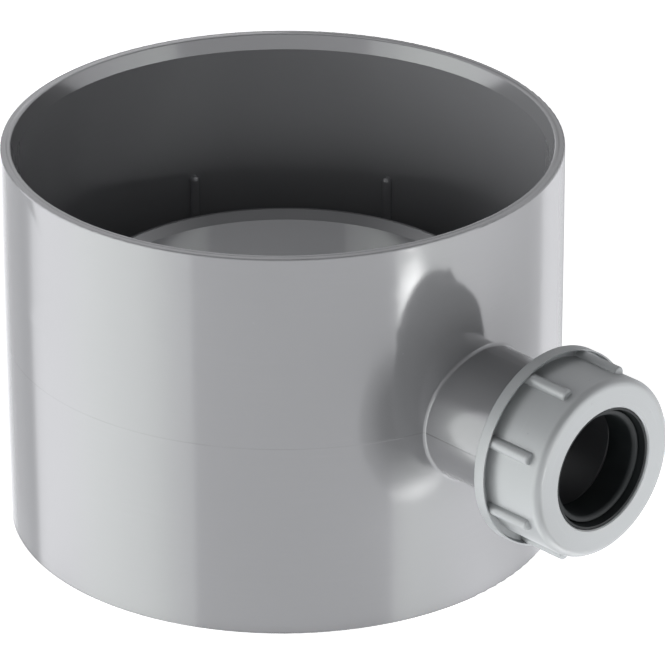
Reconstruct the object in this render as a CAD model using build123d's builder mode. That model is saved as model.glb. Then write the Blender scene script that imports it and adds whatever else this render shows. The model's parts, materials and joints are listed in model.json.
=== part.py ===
from build123d import *
import os

# Condensate trap for round ducting of 100 mm bore, in millimetres.
# The drum stands on its lower rim, its axis is +Z and the drain outlet points along +X.
# A duct enters the socket at each end. Water that runs down the upper duct's wall is caught
# in the ring shaped gutter round the upstand tube, and leaves through the side outlet.
# A nut and a rubber ring on the outlet grip the overflow pipe.

# Drum
duct_radius = 51.8
duct_clearance = 0.2
drum_wall = 3.0
drum_height = 79.5
parting_height = 40.0
draft_growth = 0.15
rim_edge_round = 0.4

# Lead-in of each duct socket
lead_in_depth = 3.0
lead_in_flare = 1.0
lead_in_edge_round = 0.25

# Gutter and upstand tube
gutter_width = 10.4
gutter_sump = 1.4
gutter_floor_thickness = 2.5
gutter_corner_round = 1.5
gutter_wall_draft = 0.4
upstand_rise = 16.7
upstand_wall = 1.9
upstand_draft = 0.5
upstand_chamfer_width = 1.3
upstand_chamfer_depth = 1.8

# Stop ribs that carry the upper duct
stop_rib_count = 8
stop_rib_rise = 4.3
stop_rib_width = 2.0
stop_rib_reach = 1.6

# Drain outlet
outlet_reach = 23.8
outlet_radius = 13.6
outlet_foot_round = 0.6
pipe_radius = 10.75
pipe_clearance = 0.15
pipe_depth = 20.8
pipe_lead_in = 0.6
throat_radius = 9.6

# Thread between outlet and nut
thread_pitch = 3.0
thread_depth = 1.4
thread_root_width = 1.9
thread_crest_width = 0.7
thread_clearance = 0.25
thread_root_bite = 0.4
outlet_thread_turns = 2.75
nut_thread_turns = 1.75

# Compression nut
nut_length = 14.9
nut_radius = 17.86
nut_front_round = 1.5
nut_lip_thickness = 2.0
nut_hole_radius = 12.2
nut_hole_chamfer = 0.25
nut_mouth_chamfer = 0.5
flange_radius = 19.65
flange_thickness = 2.6
flange_edge_round = 0.35
flange_groove_depth = 1.3
flange_groove_lip = 0.3

# Grip ribs on the nut
grip_rib_count = 8
grip_rib_width = 2.5
grip_rib_reach = 1.35
grip_rib_setback = 3.1
grip_rib_end_round = 0.35

# Sealing ring
seal_length = 6.6
seal_bore_radius = 10.0
seal_end_gap = 0.1
seal_outer_gap = 0.35
seal_collar_gap = 0.15
seal_collar_setback = 0.4
seal_collar_wall = 0.4
seal_lip_width = 1.05
seal_lip_round = 0.9
seal_lip_height = 0.4
seal_groove_depth = 0.9
seal_groove_width = 0.35
seal_back_chamfer = 0.5

# Sizes of the drum that follow from those above
socket_radius = duct_radius + duct_clearance
rim_radius = socket_radius + drum_wall
lead_in_radius = socket_radius + lead_in_flare
outlet_height = parting_height
gutter_floor = outlet_height - throat_radius - gutter_sump
gutter_underside = gutter_floor - gutter_floor_thickness
upstand_radius = socket_radius - gutter_width
upstand_top = gutter_floor + upstand_rise
airway_radius = upstand_radius - upstand_wall
stop_rib_top = upstand_top + stop_rib_rise

# Sizes of the outlet, nut and ring that follow, with x counted from the drum's axis
outlet_mouth = rim_radius + outlet_reach
outlet_bore_radius = pipe_radius + pipe_clearance
pipe_stop = outlet_mouth - pipe_depth
seal_seat = outlet_mouth + seal_length + seal_end_gap
nut_front = seal_seat + nut_lip_thickness
nut_back = nut_front - nut_length
nut_bore_radius = outlet_radius + thread_depth + thread_clearance
nut_crest_radius = nut_bore_radius - thread_depth
flange_front = nut_back + flange_thickness
groove_floor = flange_front - flange_groove_depth
nut_thread_start = nut_back + nut_mouth_chamfer + thread_root_width / 2
nut_thread_end = nut_thread_start + nut_thread_turns * thread_pitch
outlet_thread_start = nut_thread_start - 1.5 * thread_pitch
outlet_thread_end = outlet_thread_start + outlet_thread_turns * thread_pitch

# Frames on the outlet's axis: one across it, with its circles starting at the top, and one that holds
# it for turned sections
outlet_across = Plane(origin=(0, 0, outlet_height), x_dir=(0, 0, 1), z_dir=(1, 0, 0))
outlet_along = Plane(origin=(0, 0, outlet_height), x_dir=(1, 0, 0), z_dir=(0, -1, 0))
outlet_axis = Axis((0, 0, outlet_height), (1, 0, 0))


def thread_ridge(root_radius, depth, start, end):
    """A right-hand helical ridge about the outlet's axis. A negative depth points it inwards."""
    centre = Vector(start, 0, outlet_height)
    bite = thread_root_bite if depth < 0 else -thread_root_bite
    with BuildPart() as ridge:
        with BuildLine() as path:
            Helix(thread_pitch, end - start, root_radius, center=centre, direction=(1, 0, 0))
        foot = path.line @ 0
        outward = (foot - centre).normalized()
        with BuildSketch(Plane(origin=foot, x_dir=(1, 0, 0), z_dir=Vector(1, 0, 0).cross(outward))):
            with BuildLine():
                Polyline(
                    (-thread_root_width / 2, bite),
                    (thread_root_width / 2, bite),
                    (thread_crest_width / 2, depth),
                    (-thread_crest_width / 2, depth),
                    close=True,
                )
            make_face()
        sweep(path=path.line, binormal=Edge.make_line(centre, centre + Vector(end - start, 0, 0)))
    return ridge.part


os.makedirs("parts", exist_ok=True)

outlet_thread = thread_ridge(outlet_radius, thread_depth, outlet_thread_start, outlet_thread_end)
nut_thread = thread_ridge(nut_bore_radius, -thread_depth, nut_thread_start, nut_thread_end)

# One stop rib: a round topped bead, with a web that roots it in the drum's wall
bead_radius = stop_rib_width / 2
bead_centre = socket_radius - stop_rib_reach + bead_radius
bead_shoulder = stop_rib_top - bead_radius
web_reach = socket_radius + drum_wall / 2 - bead_centre
with BuildPart() as stop_rib:
    with BuildSketch(Plane.XY.offset(gutter_underside + gutter_floor_thickness / 2)):
        with Locations((bead_centre, 0)):
            Circle(bead_radius)
        with Locations((bead_centre + web_reach / 2, 0)):
            Rectangle(web_reach, stop_rib_width)
    extrude(amount=bead_shoulder - gutter_underside - gutter_floor_thickness / 2)
    with Locations((bead_centre, 0, bead_shoulder)):
        Sphere(bead_radius)
    with BuildSketch(Plane.YZ.offset(bead_centre)):
        with Locations((0, bead_shoulder)):
            Circle(bead_radius)
    extrude(amount=web_reach)

# Trap body: drum, gutter, upstand tube, stop ribs and threaded outlet in one moulding.
# The drum's section is drawn to the side of the outlet, so that its seam stays clear of the outlet's foot.
with BuildPart() as trap_body:
    with BuildSketch(Plane.YZ) as drum_section:
        with BuildLine():
            Line((0, 0), (rim_radius, 0))
            ThreePointArc((rim_radius, 0), (rim_radius + draft_growth, parting_height), (rim_radius, drum_height))
            Polyline((rim_radius, drum_height), (0, drum_height), (0, 0))
        make_face()
        rim_corners = drum_section.vertices().filter_by(lambda v: abs(v.X - rim_radius) < draft_growth / 2)
        fillet(rim_corners, radius=rim_edge_round)
    revolve(axis=Axis.Z)

    # Outlet tube with a small round at its foot
    with BuildSketch(outlet_across):
        Circle(outlet_radius)
    extrude(amount=outlet_mouth)
    outlet_side = trap_body.faces().filter_by(GeomType.CYLINDER).sort_by(SortBy.RADIUS)[0]
    outlet_foot = outlet_side.edges().filter_by(GeomType.LINE, reverse=True).sort_by(Axis.X)[:-1]
    fillet(outlet_foot, radius=outlet_foot_round)
    add(outlet_thread)

    # Upper socket and the gutter below it
    with BuildSketch(Plane.XZ) as upper_hollow:
        with BuildLine():
            Polyline(
                (upstand_radius + upstand_draft, gutter_floor),
                (socket_radius - gutter_wall_draft, gutter_floor),
                (socket_radius, stop_rib_top),
                (socket_radius, drum_height - lead_in_depth),
                (lead_in_radius, drum_height),
                (0, drum_height),
                (0, upstand_top),
                (upstand_radius, upstand_top),
                close=True,
            )
        make_face()
        fillet(upper_hollow.vertices().group_by(Axis.Y)[0], radius=gutter_corner_round)
    revolve(axis=Axis.Z, mode=Mode.SUBTRACT)

    # Lower socket and the airway through the upstand tube
    with BuildSketch(Plane.XZ) as lower_hollow:
        with BuildLine():
            Polyline(
                (0, 0),
                (lead_in_radius, 0),
                (socket_radius, lead_in_depth),
                (socket_radius, gutter_underside),
                (airway_radius + upstand_draft, gutter_underside),
                (airway_radius, upstand_top - upstand_chamfer_depth),
                (airway_radius + upstand_chamfer_width, upstand_top),
                (0, upstand_top),
                close=True,
            )
        make_face()
        stop_corners = lower_hollow.vertices().filter_by(lambda v: abs(v.Y - gutter_underside) < 0.01)
        fillet(stop_corners.sort_by(Axis.X)[-1], radius=gutter_corner_round)
    revolve(axis=Axis.Z, mode=Mode.SUBTRACT)
    mouth_edges = trap_body.edges().filter_by(GeomType.CIRCLE)
    fillet(mouth_edges.filter_by(lambda e: abs(e.radius - lead_in_radius) < 0.01), radius=lead_in_edge_round)

    with PolarLocations(0, stop_rib_count, start_angle=180 / stop_rib_count):
        add(stop_rib.part)

    # Pipe socket, and the narrower throat from it into the gutter
    with BuildSketch(outlet_across.offset(pipe_stop)):
        Circle(outlet_bore_radius)
    extrude(amount=pipe_depth, mode=Mode.SUBTRACT)
    throat_start = socket_radius - gutter_width / 2
    with BuildSketch(outlet_across.offset(throat_start)):
        Circle(throat_radius)
    extrude(amount=pipe_stop - throat_start, mode=Mode.SUBTRACT)
    mouth_face = trap_body.faces().filter_by(Axis.X).sort_by(Axis.X)[-1]
    chamfer(mouth_face.edges().sort_by(SortBy.RADIUS)[0], length=pipe_lead_in)
trap_body.part.label = "trap_body"

# One grip rib of the nut, rounded on top and at its front end, with the nut's axis along +Z
grip_centre = nut_radius + grip_rib_reach - grip_rib_width / 2
grip_start = groove_floor - flange_groove_lip
with BuildPart() as grip_rib:
    with BuildSketch(Plane.XY.offset(grip_start)):
        with Locations((grip_centre, 0)):
            Circle(grip_rib_width / 2)
        with Locations((grip_centre - grip_rib_width / 4, 0)):
            Rectangle(grip_rib_width / 2, grip_rib_width)
    extrude(amount=nut_front - grip_rib_setback - grip_start)
    grip_end = grip_rib.faces().sort_by(Axis.Z)[-1]
    fillet(grip_end.edges().sort_by(Axis.X)[-1], radius=grip_rib_end_round)

# Compression nut: threaded barrel, grooved back flange, grip ribs and an inturned lip
with BuildPart() as compression_nut:
    with BuildSketch(outlet_along) as nut_section:
        with BuildLine():
            Polyline(
                (nut_back, nut_bore_radius + nut_mouth_chamfer),
                (nut_back, flange_radius),
                (flange_front, flange_radius),
                (flange_front, flange_radius - flange_groove_lip),
                (groove_floor, flange_radius - 2 * flange_groove_lip),
                (groove_floor, nut_radius),
                (nut_front, nut_radius),
                (nut_front, nut_hole_radius + nut_hole_chamfer),
                (nut_front - nut_hole_chamfer, nut_hole_radius),
                (seal_seat, nut_hole_radius),
                (seal_seat, nut_crest_radius),
                (nut_thread_end + thread_root_width / 2, nut_crest_radius),
                (nut_thread_end + thread_root_width / 2, nut_bore_radius),
                (nut_back + nut_mouth_chamfer, nut_bore_radius),
                close=True,
            )
        make_face()
        fillet(nut_section.vertices().group_by(Axis.X)[0].sort_by(Axis.Y)[-1], radius=flange_edge_round)
        fillet(nut_section.vertices().group_by(Axis.X)[-1].sort_by(Axis.Y)[-1], radius=nut_front_round)
    revolve(axis=outlet_axis)
    add(nut_thread)
    with Locations(outlet_across.location):
        with PolarLocations(0, grip_rib_count, start_angle=180 / grip_rib_count):
            add(grip_rib.part)
compression_nut.part.label = "compression_nut"

# Sealing ring: seated on the outlet's mouth, with a collar in the nut's hole and a round lip
seal_radius = nut_crest_radius - seal_outer_gap
seal_shoulder = seal_seat - seal_end_gap
collar_radius = nut_hole_radius - seal_collar_gap
collar_front = nut_front - seal_collar_setback
lip_radius = seal_bore_radius + seal_lip_width
lip_front = seal_shoulder + seal_lip_height
with BuildPart() as sealing_ring:
    with BuildSketch(outlet_along) as seal_section:
        with BuildLine():
            Polyline(
                (outlet_mouth, seal_bore_radius + seal_back_chamfer),
                (outlet_mouth, seal_radius),
                (seal_shoulder, seal_radius),
                (seal_shoulder, collar_radius),
                (collar_front, collar_radius),
                (collar_front, collar_radius - seal_collar_wall),
                (lip_front - seal_groove_depth, lip_radius + seal_groove_width),
                (lip_front, lip_radius),
                (lip_front, seal_bore_radius),
                (outlet_mouth + seal_back_chamfer, seal_bore_radius),
                close=True,
            )
        make_face()
        lip_corner = seal_section.vertices().filter_by(lambda v: abs(v.X - lip_front) < 0.01).sort_by(Axis.Y)[0]
        fillet(lip_corner, radius=seal_lip_round)
    revolve(axis=outlet_axis)
sealing_ring.part.label = "sealing_ring"

export_step(trap_body.part, "parts/trap_body.step")
export_step(compression_nut.part, "parts/compression_nut.step")
export_step(sealing_ring.part, "parts/sealing_ring.step")
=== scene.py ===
import json
import math

import bmesh
import bpy
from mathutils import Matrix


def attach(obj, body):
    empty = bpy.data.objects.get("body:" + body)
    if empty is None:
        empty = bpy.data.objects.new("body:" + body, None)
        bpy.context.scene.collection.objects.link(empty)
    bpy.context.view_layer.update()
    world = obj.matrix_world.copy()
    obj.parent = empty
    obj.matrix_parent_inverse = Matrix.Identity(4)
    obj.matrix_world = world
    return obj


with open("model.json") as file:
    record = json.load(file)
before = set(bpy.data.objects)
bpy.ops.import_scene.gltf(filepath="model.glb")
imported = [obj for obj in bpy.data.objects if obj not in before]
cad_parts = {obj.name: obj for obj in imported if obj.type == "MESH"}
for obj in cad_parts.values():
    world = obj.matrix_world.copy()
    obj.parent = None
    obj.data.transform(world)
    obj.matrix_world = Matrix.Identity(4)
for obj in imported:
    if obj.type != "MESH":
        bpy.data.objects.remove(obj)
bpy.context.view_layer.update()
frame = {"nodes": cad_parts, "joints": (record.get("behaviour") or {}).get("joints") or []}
print("frame loaded:", ", ".join(sorted(frame["nodes"])))

# sizes that the finishes and the light follow, in metres
nutTurn = next(joint for joint in frame["joints"] if joint["name"] == "nut_turn")
outletHeight = nutTurn["pos_m"][2]  # of the outlet's axis, and of the parting line
drumRadius = max(-vertex.co.x for vertex in frame["nodes"]["trap_body"].data.vertices)  # at its widest
nutEnd = max(vertex.co.x for vertex in frame["nodes"]["compression_nut"].data.vertices)


class Reading:
    # one socket of a node tree, so that shader maths is written as plain expressions

    def __init__(self, tree, socket=None):
        self.tree = tree
        self.socket = socket

    def add(self, kind, settings=None, values=None, out=0):
        # settings first, then the values or links of the node's sockets
        made = self.tree.nodes.new(kind)
        for key, value in (settings or {}).items():
            if key == "stops":
                ramp = made.color_ramp
                while len(ramp.elements) < len(value):
                    ramp.elements.new(0.5)
                for element, (place, colour) in zip(ramp.elements, value):
                    element.position = place
                    element.color = colour
            else:
                setattr(made, key, value)
        for key, value in (values or {}).items():
            if isinstance(value, Reading):
                self.tree.links.new(value.socket, made.inputs[key])
            else:
                made.inputs[key].default_value = value
        return Reading(self.tree, made.outputs[out])

    def maths(self, operation, other=None, swapped=False):
        pair = [self] if other is None else [other, self] if swapped else [self, other]
        return self.add("ShaderNodeMath", {"operation": operation}, dict(enumerate(pair)))

    def __add__(self, other):
        return self.maths("ADD", other)

    def __radd__(self, other):
        return self.maths("ADD", other, True)

    def __sub__(self, other):
        return self.maths("SUBTRACT", other)

    def __rsub__(self, other):
        return self.maths("SUBTRACT", other, True)

    def __mul__(self, other):
        return self.maths("MULTIPLY", other)

    def __rmul__(self, other):
        return self.maths("MULTIPLY", other, True)

    def __truediv__(self, other):
        return self.maths("DIVIDE", other)

    def size(self):
        return self.maths("ABSOLUTE")

    def power(self, exponent):
        return self.maths("POWER", exponent)

    def held(self):
        # clamped to 0..1
        return self.add("ShaderNodeClamp", None, {0: self})

    def above(self, start, slope=1.0):
        # 0 up to start, and from there it climbs to 1
        return ((self - start) * slope).held()

    def below(self, end, slope=1.0):
        # 0 from end on, and before it it climbs to 1
        return ((end - self) * slope).held()


def noise(at, scale, detail=2.0, roughness=0.5):
    pattern = {"Vector": at, "Scale": scale, "Detail": detail, "Roughness": roughness}
    return at.add("ShaderNodeTexNoise", None, pattern)


def patches(at, least, slope=1.0, **pattern):
    # noise that shows only where it is more than least
    return noise(at, **pattern).above(least, slope)


def dots(at, scale, reach, slope):
    # round specks, one for each cell
    distance = at.add("ShaderNodeTexVoronoi", None, {"Vector": at, "Scale": scale}, "Distance")
    return distance.below(reach, slope)


def stretched(at, turns, scales):
    return at.add("ShaderNodeMapping", None, {"Vector": at, "Rotation": turns, "Scale": scales})


def ripples(place, pitch):
    return (place * (2 * math.pi / pitch)).maths("SINE")


def away(first, second):
    # distance from a line, by the two parts across it
    return (first * first + second * second).power(0.5)


def bumpOf(height):
    # height is in metres
    return height.add("ShaderNodeBump", None, {"Strength": 1.0, "Distance": 1.0, "Height": height})


def blendColours(share, first, second):
    # a colour between two others, by share
    return share.add("ShaderNodeMix", {"data_type": "RGBA"}, {0: share, 6: first, 7: second}, 2)


def partsOf(at):
    return [at.add("ShaderNodeSeparateXYZ", None, {0: at}, part) for part in range(3)]


def startMaterial(name):
    # an empty tree with the object's own coordinates, in metres
    material = bpy.data.materials.new(name)
    material.use_nodes = True
    tree = material.node_tree
    tree.nodes.clear()
    return material, Reading(tree).add("ShaderNodeTexCoord", None, None, "Object")


def endMaterial(surface):
    output = surface.tree.nodes.new("ShaderNodeOutputMaterial")
    surface.tree.links.new(surface.socket, output.inputs["Surface"])


# moulded grey plastic of the trap: gloss with a slight orange peel and faint rubs, and two drafts
# that meet at the parting line, with painted shade inside the pipe socket and along the foot; lengths and
# heights are in metres
bodyFinish = {
    "colour": (0.222, 0.225, 0.233, 1),
    "shadeColour": (0.212, 0.215, 0.223, 1),
    "rubColour": (0.275, 0.278, 0.286, 1),
    "lineAndFootShadeColour": (0.085, 0.087, 0.092, 1),
    "boreShadeColour": (0.025, 0.026, 0.028, 1),  # painted shade on the plastic inside the pipe socket
    "refraction": 1.5,
    "roughness": 0.09,
    "rougher": {"flow": 0.04, "rubs": 0.2, "specks": 0.2, "bore": 0.4},
    "flow": {"scale": 28, "detail": 2},
    "peel": {"scale": 520, "detail": 2},
    "grain": {"scale": 3800, "detail": 1},
    "rubTurns": (0.1, 0.35, 0.2),
    "rubScales": (90, 90, 1500),
    "rubs": {"scale": 1, "detail": 2, "least": 0.5},
    "rubAreas": {"scale": 40, "detail": 2, "least": 0.42},
    "specks": {"scale": 300, "reach": 0.075, "slope": 20},
    "speckAreas": {"scale": 60, "detail": 1, "least": 0.5, "slope": 4},
    "speckShare": 0.2,
    "skinStart": drumRadius - 0.00155,  # distance from the axis past which the parting line shows
    "skinSlope": 3000,            # a mask rises this much in one metre
    "edgeSlope": 4000,
    "boreRadius": 0.0113,
    "boreStart": 0.043,
    "boreSlope": 1000,
    "outletStart": drumRadius + 0.00045,  # distance from the axis past which only the outlet stands
    "partingWidth": 0.00020,
    "lineShares": {"drum": 0.25, "outlet": 0.65, "foot": 0.6},
    "lineBreaks": {"scale": 90, "detail": 2, "least": 0.30, "slope": 3},
    "footHeight": 0.0006,         # painted shade along the edge where the drum stands
    "peelRise": 0.0000026,
    "grainRise": 0.0000003,
    "partingRise": 0.000012,
    "partingShare": 0.6,          # of that height, on the drum
    "draft": 0.0035,              # extra slope of the wall above and below the parting line
    "turnPitch": 0.00042,         # faint turned rings round the outlet
    "turnWaver": 0.00012,
    "turnRise": 0.0000016,
}


def makeBodyPlastic():
    material, at = startMaterial("bodyPlastic")
    x, y, z = partsOf(at)
    flow, peel, grain = [noise(at, **bodyFinish[key]) for key in ("flow", "peel", "grain")]
    radius = away(x, y)
    skin = radius.above(bodyFinish["skinStart"], bodyFinish["skinSlope"])
    onOutlet = radius.above(bodyFinish["outletStart"], bodyFinish["edgeSlope"])
    off = (z - outletHeight).size()
    parting = (1 - off / bodyFinish["partingWidth"]).held() * skin
    # painted shade: a dark line along the bottom edge where the drum stands
    foot = z.below(bodyFinish["footHeight"], bodyFinish["edgeSlope"]) * skin
    # painted shade: the base colour is darkened inside the pipe socket, where little light reaches
    reach = away(y, z - outletHeight)
    bore = reach.below(bodyFinish["boreRadius"], bodyFinish["edgeSlope"])
    bore = bore * x.above(bodyFinish["boreStart"], bodyFinish["boreSlope"])

    rubbing = stretched(at, bodyFinish["rubTurns"], bodyFinish["rubScales"])
    rubs = patches(rubbing, **bodyFinish["rubs"]) * patches(at, **bodyFinish["rubAreas"])
    specks = dots(at, **bodyFinish["specks"]) * patches(at, **bodyFinish["speckAreas"])
    marks = (rubs + specks * bodyFinish["speckShare"]).held()
    shares = bodyFinish["lineShares"]
    # the parting line's own dark colour, and painted shade along the foot
    line = parting * (onOutlet * shares["outlet"] + shares["drum"]) + foot * shares["foot"]
    line = line * patches(at, **bodyFinish["lineBreaks"])

    base = blendColours(flow, bodyFinish["colour"], bodyFinish["shadeColour"])
    rubbed = blendColours(marks, base, bodyFinish["rubColour"])
    linedAndFootShaded = blendColours(line, rubbed, bodyFinish["lineAndFootShadeColour"])
    # painted shade darkens the plastic inside the pipe socket
    boreShaded = blendColours(bore, linedAndFootShaded, bodyFinish["boreShadeColour"])
    rougher = bodyFinish["rougher"]
    rough = (bodyFinish["roughness"] + flow * rougher["flow"] + rubs * rougher["rubs"]
             + specks * rougher["specks"] + bore * rougher["bore"])
    turned = ripples(x + peel * bodyFinish["turnWaver"], bodyFinish["turnPitch"]) * onOutlet * flow
    bead = parting * bodyFinish["partingRise"] * (onOutlet + bodyFinish["partingShare"])
    height = (peel * bodyFinish["peelRise"] + grain * bodyFinish["grainRise"]
              + turned * bodyFinish["turnRise"] + bead - off * skin * bodyFinish["draft"])
    endMaterial(at.add("ShaderNodeBsdfPrincipled", None, {
        "Base Color": boreShaded,
        "Roughness": rough,
        "IOR": bodyFinish["refraction"],
        "Normal": bumpOf(height),
    }))
    return material


# satin plastic of the nut: lighter, with turned rings and arcs on its face, light scuffs and pits
nutFinish = {
    "colour": (0.318, 0.332, 0.338, 1),
    "shadeColour": (0.302, 0.316, 0.322, 1),
    "scuffColour": (0.390, 0.404, 0.410, 1),
    "pitColour": (0.150, 0.156, 0.160, 1),
    "refraction": 1.49,
    "roughness": 0.34,
    "rougher": {"flow": 0.08, "scuffs": 0.15, "face": -0.03},
    "flow": {"scale": 60, "detail": 2},
    "grain": {"scale": 2600, "detail": 2},
    "scuffTurns": (0.6, 0.2, 0.3),
    "scuffScales": (1700, 110, 110),
    "scuffs": {"scale": 1, "detail": 3, "least": 0.6, "slope": 5},
    "scuffAreas": {"scale": 130, "detail": 2, "least": 0.45, "slope": 3},
    "arcScales": (2400, 0.9),     # across the arcs and along them
    "arcs": {"scale": 1, "detail": 3, "roughness": 0.6, "least": 0.56, "slope": 7},
    "arcAreas": {"scale": 75, "detail": 1, "least": 0.35, "slope": 3},
    "pits": {"scale": 420, "reach": 0.10, "slope": 12},
    "pitAreas": {"scale": 95, "detail": 1, "least": 0.5, "slope": 5},
    "shares": {"scuffs": 0.6, "arcs": 0.35, "pits": 0.6},
    "faceStart": nutEnd - 0.0005,  # x past which the turned rings show
    "faceSlope": 4000,
    "ringPitch": 0.00045,
    "ringWaver": 0.00006,
    "waver": {"scale": 260, "detail": 2},
    "ringAreas": {"scale": 140, "detail": 1, "least": 0.15},
    "ringRise": 0.0000035,        # heights are in metres
    "grainRise": 0.0000012,
    "scuffDepth": 0.000003,
    "depths": {"arcs": 0.5, "pits": 2},  # in scuff depths
}


def makeNutPlastic():
    material, at = startMaterial("nutPlastic")
    x, y, z = partsOf(at)
    flow, grain, waver = [noise(at, **nutFinish[key]) for key in ("flow", "grain", "waver")]
    up = z - outletHeight
    radius = away(y, up)
    face = x.above(nutFinish["faceStart"], nutFinish["faceSlope"])

    rubbing = stretched(at, nutFinish["scuffTurns"], nutFinish["scuffScales"])
    scuffs = patches(rubbing, **nutFinish["scuffs"]) * patches(at, **nutFinish["scuffAreas"])
    across, along = nutFinish["arcScales"]
    swept = {0: radius * across, 1: up.maths("ARCTAN2", y) * along, 2: 0}
    arcs = patches(at.add("ShaderNodeCombineXYZ", None, swept), **nutFinish["arcs"])
    arcs = arcs * face * patches(at, **nutFinish["arcAreas"])
    pits = dots(at, **nutFinish["pits"]) * patches(at, **nutFinish["pitAreas"])
    rings = ripples(radius + waver * nutFinish["ringWaver"], nutFinish["ringPitch"])
    rings = rings * face * patches(at, **nutFinish["ringAreas"])

    shares = nutFinish["shares"]
    base = blendColours(flow, nutFinish["colour"], nutFinish["shadeColour"])
    pitted = blendColours(pits * shares["pits"], base, nutFinish["pitColour"])
    marks = (scuffs * shares["scuffs"] + arcs * shares["arcs"]).held()
    rougher = nutFinish["rougher"]
    rough = (nutFinish["roughness"] + flow * rougher["flow"] + scuffs * rougher["scuffs"]
             + face * rougher["face"])
    sunk = scuffs + arcs * nutFinish["depths"]["arcs"] + pits * nutFinish["depths"]["pits"]
    height = (rings * nutFinish["ringRise"] + grain * nutFinish["grainRise"]
              - sunk * nutFinish["scuffDepth"])
    endMaterial(at.add("ShaderNodeBsdfPrincipled", None, {
        "Base Color": blendColours(marks, pitted, nutFinish["scuffColour"]),
        "Roughness": rough,
        "IOR": nutFinish["refraction"],
        "Normal": bumpOf(height),
    }))
    return material


# black rubber of the ring: nearly no shine, a little bloom
sealFinish = {
    "colour": (0.0030, 0.0040, 0.0043, 1),
    "bloomColour": (0.008, 0.010, 0.010, 1),
    "bloom": {"scale": 240, "detail": 3, "least": 0.45, "slope": 3},
    "bloomShare": 0.4,
    "roughness": 0.55,
    "bloomRoughness": 0.15,
    "shine": 0.15,
    "grain": {"scale": 5200, "detail": 2},
    "grainRise": 0.0000012,       # in metres
}


def makeSealRubber():
    material, at = startMaterial("sealRubber")
    bloom = patches(at, **sealFinish["bloom"])
    grain = noise(at, **sealFinish["grain"])
    share = bloom * sealFinish["bloomShare"]
    endMaterial(at.add("ShaderNodeBsdfPrincipled", None, {
        "Base Color": blendColours(share, sealFinish["colour"], sealFinish["bloomColour"]),
        "Roughness": sealFinish["roughness"] + bloom * sealFinish["bloomRoughness"],
        "Specular IOR Level": sealFinish["shine"],
        "Normal": bumpOf(grain * sealFinish["grainRise"]),
    }))
    return material


finishes = {
    "trap_body": makeBodyPlastic(),
    "compression_nut": makeNutPlastic(),
    "sealing_ring": makeSealRubber(),
}
for nodeName, finish in finishes.items():
    nodeObject = frame["nodes"][nodeName]
    nodeObject.data.materials.clear()
    nodeObject.data.materials.append(finish)
print("finishes given to", len(finishes), "parts")


# nibs of flash along the mould line, on both sides of the outlet tube
flashSettings = {
    "Start": (0.0572, -0.01358, outletHeight),
    "End": (0.0676, -0.01358, outletHeight),
    "Count": 6,
    "Jitter": (0.0006, 0.0, 0.00003),
    "Size": (0.00022, 0.00011, 0.00008),
    "Seed": 3,
    "Finish": finishes["trap_body"],
    "leastSize": 0.35,            # of Size
    "segments": 12,
    "rings": 8,
}
flashKinds = {
    "Start": "Vector",
    "End": "Vector",
    "Count": "Int",
    "Jitter": "Vector",
    "Size": "Vector",
    "Seed": "Int",
    "Finish": "Material",
}


def scaled(vector, factor):
    return vector.add("ShaderNodeVectorMath", {"operation": "SCALE"}, {"Vector": vector, "Scale": factor})


def drawn(least, most, seed):
    # a random vector between two others
    ends = {"Min": least, "Max": most, "Seed": seed}
    return most.add("FunctionNodeRandomValue", {"data_type": "FLOAT_VECTOR"}, ends)


def makeFlashNodes():
    tree = bpy.data.node_groups.new("flash", "GeometryNodeTree")
    sockets = {}
    for name, kind in flashKinds.items():
        socket = tree.interface.new_socket(name, in_out="INPUT", socket_type="NodeSocket" + kind)
        sockets[name] = socket.identifier
    tree.interface.new_socket("Geometry", in_out="OUTPUT", socket_type="NodeSocketGeometry")

    start = Reading(tree)
    given = {name: start.add("NodeGroupInput", None, None, name) for name in flashKinds}
    ends = {"Start": given["Start"], "End": given["End"]}
    line = start.add("GeometryNodeCurvePrimitiveLine", None, ends)
    spread = {"Curve": line, "Count": given["Count"]}
    points = start.add("GeometryNodeCurveToPoints", {"mode": "COUNT"}, spread, "Points")
    shift = drawn(scaled(given["Jitter"], -1.0), given["Jitter"], given["Seed"])
    scale = drawn(scaled(given["Size"], flashSettings["leastSize"]), given["Size"], given["Seed"])
    placed = start.add("GeometryNodeSetPosition", None, {"Geometry": points, "Offset": shift})
    ball = {"Segments": flashSettings["segments"], "Rings": flashSettings["rings"], "Radius": 1.0}
    nib = start.add("GeometryNodeMeshUVSphere", None, ball)
    nibs = {"Points": placed, "Instance": nib, "Scale": scale}
    near = start.add("GeometryNodeInstanceOnPoints", None, nibs)

    # half a turn round the outlet's axis takes them to its other side
    lift = (0, 0, 2 * outletHeight)
    turned = {"Geometry": near, "Rotation": (math.pi, 0, 0), "Translation": lift}
    far = start.add("GeometryNodeTransform", None, turned)
    both = start.add("GeometryNodeJoinGeometry", None, {"Geometry": near})
    tree.links.new(far.socket, both.socket.node.inputs["Geometry"])
    solid = start.add("GeometryNodeRealizeInstances", None, {"Geometry": both})
    dressed = {"Geometry": solid, "Material": given["Finish"]}
    finished = start.add("GeometryNodeSetMaterial", None, dressed)
    output = tree.nodes.new("NodeGroupOutput")
    tree.links.new(finished.socket, output.inputs["Geometry"])
    return tree, sockets


def makeFlash():
    tree, sockets = makeFlashNodes()
    flash = bpy.data.objects.new("outletFlash", bpy.data.meshes.new("outletFlash"))
    bpy.context.scene.collection.objects.link(flash)
    modifier = flash.modifiers.new("flash", "NODES")
    modifier.node_group = tree
    for name, identifier in sockets.items():
        modifier[identifier] = flashSettings[name]
    evaluated = flash.evaluated_get(bpy.context.evaluated_depsgraph_get())
    mesh = bpy.data.meshes.new_from_object(evaluated)
    flash.modifiers.clear()
    flash.data = mesh
    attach(flash, "trap")
    print("flash of the mould line:", len(mesh.polygons), "faces")


makeFlash()


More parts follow.
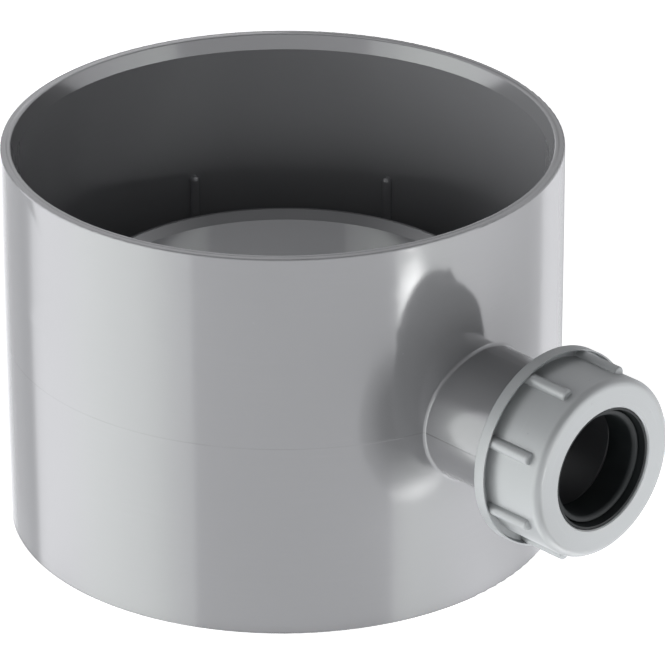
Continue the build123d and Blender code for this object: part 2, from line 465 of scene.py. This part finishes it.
# floor: a wide pale disc that glows at both sides, like light panels that reach below the object,
# and keeps the shadow; turns are in degrees from the camera's side
floorSettings = {
    "radius": 4.0,
    "segments": 96,
    "colour": (0.93, 0.93, 0.93, 1),
    "wornColour": (0.88, 0.88, 0.88, 1),
    "wear": {"scale": 9, "detail": 2},
    "wearShare": 0.05,
    "roughness": 0.8,
    "shine": 0.1,
    "facing": -43.06,             # polar direction of the camera, in degrees
    "most": 8.0,                  # full scale of the bands' ramps
    "sides": [
        (-138, 1.2), (-126, 2.6), (-68, 2.6), (-52, 0.85), (32, 0.95), (45, 2.15), (118, 2.15), (130, 1.2),
    ],
    "within": 1.0,                # light under the drum, that comes up through it
    "withinRadius": drumRadius - 0.00315,
    "withinSlope": 2000,
    "footRadius": drumRadius - 0.00035,  # the dark line where the drum stands
    "footWidth": 0.0022,
    "seenGlow": 0.88,             # light that the camera sees, on top of what falls on it
}


def fromCamera(x, y, settings):
    # the parts of a place or direction towards the camera's side and across it
    facing = math.radians(settings["facing"])
    forward = x * math.cos(facing) + y * math.sin(facing)
    aside = y * math.cos(facing) - x * math.sin(facing)
    return forward, aside


def sideBands(at, x, y, settings, key):
    # brightness by direction: settings[key] lists turns from the camera, in degrees, and the light there
    forward, aside = fromCamera(x, y, settings)
    turn = aside.maths("ARCTAN2", forward) / (2 * math.pi) + 0.5
    most = settings["most"]
    stops = []
    for place, light in settings[key]:
        grey = light / most
        stops.append(((place + 180) / 360, (grey, grey, grey, 1)))
    return at.add("ShaderNodeValToRGB", {"stops": stops}, {0: turn}) * most


def discOf(name, radius, segments, material):
    mesh = bpy.data.meshes.new(name)
    shape = bmesh.new()
    bmesh.ops.create_circle(shape, cap_ends=True, segments=segments, radius=radius)
    shape.to_mesh(mesh)
    shape.free()
    mesh.materials.append(material)
    thing = bpy.data.objects.new(name, mesh)
    bpy.context.scene.collection.objects.link(thing)
    return thing


def makeFloor():
    material, at = startMaterial("floorPaint")
    x, y = partsOf(at)[:2]
    wear = noise(at, **floorSettings["wear"]) * floorSettings["wearShare"]
    radius = away(x, y)
    within = radius.below(floorSettings["withinRadius"], floorSettings["withinSlope"])
    foot = (1 - (radius - floorSettings["footRadius"]).size() / floorSettings["footWidth"]).held()
    outside = sideBands(at, x, y, floorSettings, "sides") * (1 - within)
    spread = (outside + within * floorSettings["within"]) * (1 - foot)
    seen = at.add("ShaderNodeLightPath", None, None, "Is Camera Ray")
    endMaterial(at.add("ShaderNodeBsdfPrincipled", None, {
        "Base Color": blendColours(wear, floorSettings["colour"], floorSettings["wornColour"]),
        "Roughness": floorSettings["roughness"],
        "Specular IOR Level": floorSettings["shine"],
        "Emission Color": seen * floorSettings["seenGlow"] + (1 - seen) * spread,
        "Emission Strength": 1.0,
    }))
    floor = discOf("floor", floorSettings["radius"], floorSettings["segments"], material)
    floor.visible_glossy = False  # gloss sees the panels of the surround instead


makeFloor()


# small cards on the floor that only gloss sees: two hot spots, and the shade of the airway and the nut;
# cover and depth say how wide and how dark a shade is
cardSettings = {
    "lift": 0.0004,
    "segments": 32,
    "fade": 1.2,                  # radii from the middle where the light or shade would end
    "cards": {
        "spotByRim": {
            "place": (0.1986, 0.0130), "radius": 0.024, "stretch": (1.0, 1.0),
            "light": 19.0, "cover": 0.0, "depth": 0.0,
        },
        "spotByNut": {
            "place": (0.1030, -0.0040), "radius": 0.009, "stretch": (0.5, 1.9),
            "light": 6.5, "cover": 0.0, "depth": 0.0,
        },
        "airwayShade": {
            "place": (0.0, 0.0), "radius": drumRadius - 0.00165, "stretch": (1.0, 1.0),
            "light": 0.0, "cover": 5.0, "depth": 0.55,
        },
        "nutShade": {
            "place": (0.1400, -0.0100), "radius": 0.036, "stretch": (1.0, 1.0),
            "light": 0.0, "cover": 1.4, "depth": 1.0,
        },
    },
}


def makeCard(name, card):
    material, at = startMaterial(name + "Glow")
    x, y = partsOf(at)[:2]
    near = (away(x, y) / card["radius"]).below(cardSettings["fade"])
    glow = at.add("ShaderNodeEmission", None, {"Color": near * card["light"], "Strength": 1.0})
    clear = at.add("ShaderNodeBsdfTransparent")
    lit = at.add("ShaderNodeAddShader", None, {0: glow, 1: clear})
    black = at.add("ShaderNodeEmission", None, {"Color": (0, 0, 0, 1), "Strength": 0.0})
    shade = (near * card["cover"]).held() * card["depth"]
    endMaterial(at.add("ShaderNodeMixShader", None, {0: shade, 1: lit, 2: black}))
    thing = discOf(name, card["radius"], cardSettings["segments"], material)
    thing.location = (card["place"][0], card["place"][1], cardSettings["lift"])
    thing.scale = (card["stretch"][0], card["stretch"][1], 1)
    thing.visible_camera = False
    thing.visible_diffuse = False
    thing.visible_transmission = False
    thing.visible_shadow = False


for cardName, card in cardSettings["cards"].items():
    makeCard(cardName, card)


# surround: dark, with a wide soft panel at each side and fainter light over the rim; gloss sees
# bands of its own, and what is high above them
surroundSettings = {
    "facing": floorSettings["facing"],
    "most": floorSettings["most"],
    "dim": 0.14,                  # light from everywhere else
    "panels": [(-138, 0), (-126, 4.5), (-68, 4.5), (-56, 0), (32, 0), (44, 0.8), (118, 0.8), (130, 0)],
    "panelTop": 0.05,             # sine of the height where the panels fade
    "panelFade": 0.15,
    "over": [(-138, 0), (-126, 1.8), (0, 1.8), (24, 0)],  # higher and fainter, over the rim
    "overStart": 0.06,
    "overTop": 0.28,
    "shine": [
        (-170, 1.6), (-150, 0.6), (-140, 0.5), (-131, 0.4), (-127, 0.5), (-124, 2.3), (-118, 3.2),
        (-106, 4.5), (-90, 6.2), (-76, 7.1), (-62, 7.3), (-54, 6.9), (-46, 6.0), (-40, 5.5),
        (-37.5, 5.3), (-36.5, 3.7), (-30, 3.6), (0, 3.6), (38, 3.8), (44.5, 4.1), (46, 5.8), (54, 6.3),
        (72, 5.5), (88, 4.4), (102, 3.0), (118, 1.8), (128, 1.6), (134, 2.4), (150, 1.5), (170, 0.6),
    ],
    "shineTop": 0.30,
    "shineFade": 0.20,
    "high": 2.3,                  # what gloss sees above the panels
    "front": 0.9,                 # and above them on the camera's side
    "frontSlope": 2,
    "middleTint": (0.965, 0.970, 1.0, 1),
    "sideTint": (0.965, 1.0, 0.985, 1),
    "tintStart": 4.8,             # brightness where the side tint begins
    "tintFade": 2,
    "lamps": {
        "lampLeft": {"aside": -100, "rise": 20, "far": 1.1, "width": 0.5, "height": 0.35, "power": 2.5},
        "lampRight": {"aside": 100, "rise": 12, "far": 1.1, "width": 0.45, "height": 0.35, "power": 0.03},
    },
}


def makeSurround():
    world = bpy.data.worlds.new("surround")
    bpy.context.scene.world = world
    world.use_nodes = True
    tree = world.node_tree
    tree.nodes.clear()
    way = Reading(tree).add("ShaderNodeTexCoord", None, None, "Generated")
    x, y, z = partsOf(way)
    keys = ("panels", "over", "shine")
    panels, over, shine = [sideBands(way, x, y, surroundSettings, key) for key in keys]

    fade = surroundSettings["panelFade"]
    lowered = 1 - ((z - surroundSettings["panelTop"]) / fade).held()
    started = ((z - surroundSettings["overStart"]) / fade).held()
    ended = ((z - surroundSettings["overTop"]) / fade).held()
    spread = panels * lowered + over * started * (1 - ended) + surroundSettings["dim"]

    forward = fromCamera(x, y, surroundSettings)[0]
    toFront = (forward * surroundSettings["frontSlope"]).held()
    high = surroundSettings["high"] - toFront * (surroundSettings["high"] - surroundSettings["front"])
    raised = ((z - surroundSettings["shineTop"]) / surroundSettings["shineFade"]).held()
    shine = shine * (1 - raised) + high * raised
    share = ((shine - surroundSettings["tintStart"]) / surroundSettings["tintFade"]).held()
    tint = blendColours(share, surroundSettings["middleTint"], surroundSettings["sideTint"])

    kinds = ("Is Camera Ray", "Is Transmission Ray", "Is Glossy Ray")
    camera, through, gloss = [way.add("ShaderNodeLightPath", None, None, kind) for kind in kinds]
    white = camera.maths("MAXIMUM", through)
    others = 1 - white.maths("MAXIMUM", gloss)
    background = way.add("ShaderNodeBackground", None, {
        "Color": blendColours(gloss, (1, 1, 1, 1), tint),
        "Strength": white + gloss * shine + others * spread,
    })
    output = tree.nodes.new("ShaderNodeOutputWorld")
    tree.links.new(background.socket, output.inputs["Surface"])


def makeLamps():
    for name, lamp in surroundSettings["lamps"].items():
        data = bpy.data.lights.new(name, "AREA")
        data.shape = "RECTANGLE"
        data.size = lamp["width"]
        data.size_y = lamp["height"]
        data.energy = lamp["power"]
        thing = bpy.data.objects.new(name, data)
        bpy.context.scene.collection.objects.link(thing)
        turn = math.radians(surroundSettings["facing"] + 90 + lamp["aside"])
        rise = math.radians(lamp["rise"])
        back = (math.sin(turn) * math.cos(rise), -math.cos(turn) * math.cos(rise), math.sin(rise))
        thing.location = [lamp["far"] * part for part in back]
        thing.rotation_euler = (math.pi / 2 - rise, 0, turn)
        thing.visible_camera = False
        thing.visible_glossy = False


makeSurround()
makeLamps()
print("floor, cards, surround and lamps set")


# camera at the place found from the photograph, with the drain outlet along +X
cameraSettings = {
    "place": (0.67807767, -0.63364651, 0.491684),
    "turns": (63.9273964, 0.0584560, 46.3156677),
    "lens": 282.114,
    "sensor": 36.0,
    "clip": (0.05, 20),
}


def makeCamera():
    data = bpy.data.cameras.new("camera")
    data.lens = cameraSettings["lens"]
    data.sensor_width = cameraSettings["sensor"]
    data.clip_start, data.clip_end = cameraSettings["clip"]
    camera = bpy.data.objects.new("camera", data)
    camera.location = cameraSettings["place"]
    camera.rotation_euler = [math.radians(turn) for turn in cameraSettings["turns"]]
    bpy.context.scene.collection.objects.link(camera)
    bpy.context.scene.camera = camera


makeCamera()
bpy.context.scene.view_settings.view_transform = "Standard"
print("camera set")
